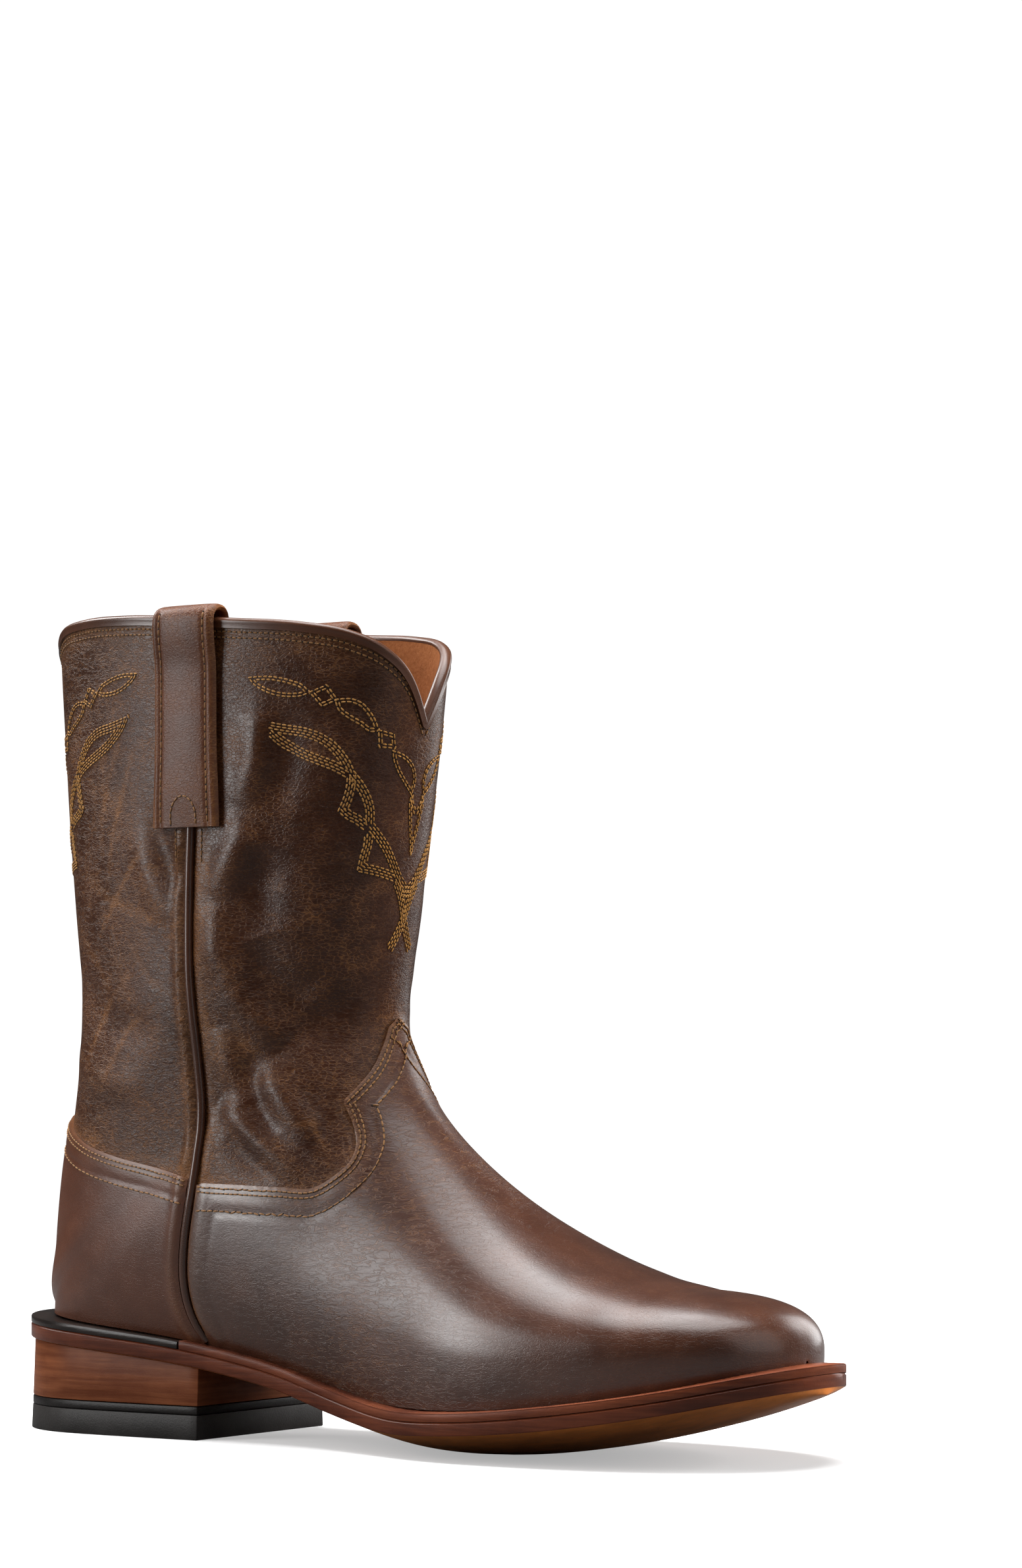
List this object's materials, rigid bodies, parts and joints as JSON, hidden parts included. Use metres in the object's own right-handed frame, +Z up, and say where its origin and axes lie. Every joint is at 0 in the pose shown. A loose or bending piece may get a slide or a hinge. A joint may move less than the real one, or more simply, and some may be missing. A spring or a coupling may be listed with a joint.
{
  "type": "western boot",
  "caption": "Right western boot in dark brown leather: round toe, short shaft with scalloped collar, pull straps, welted leather sole and low stacked heel with a rubber cap.",
  "frame": {"origin": "bottom centre of the boot's bounding box, on the floor it stands on", "axes": "+X from heel to toe, +Y from the outer side of the foot to the inner side, +Z up"},
  "size_m": [0.306, 0.1058, 0.2754],
  "materials": {
    "shaft_leather": "waxed, grained",
    "vamp_leather": "polished",
    "counter_leather": "polished",
    "trim_leather": "glossy",
    "strap_leather": "satin",
    "insole_leather": "matt",
    "welt_leather": "waxed edge",
    "outsole_leather": "waxed edge",
    "rand_leather": "waxed edge",
    "stack_leather": "waxed edge",
    "lift_rubber": "satin",
    "cap_rubber": "matt"
  },
  "bodies": {
    "root": {"upper": "shaft_leather", "vamp": "vamp_leather", "counter": "counter_leather", "side_piping_lateral": "trim_leather", "side_piping_medial": "trim_leather", "pull_strap_lateral": "strap_leather", "pull_strap_medial": "strap_leather", "collar_binding": "trim_leather", "insole": "insole_leather", "welt": "welt_leather", "outsole": "outsole_leather", "heel_rand": "rand_leather", "heel_stack": "stack_leather", "heel_lift": "lift_rubber", "heel_cap": "cap_rubber"}
  },
  "joints": []
}
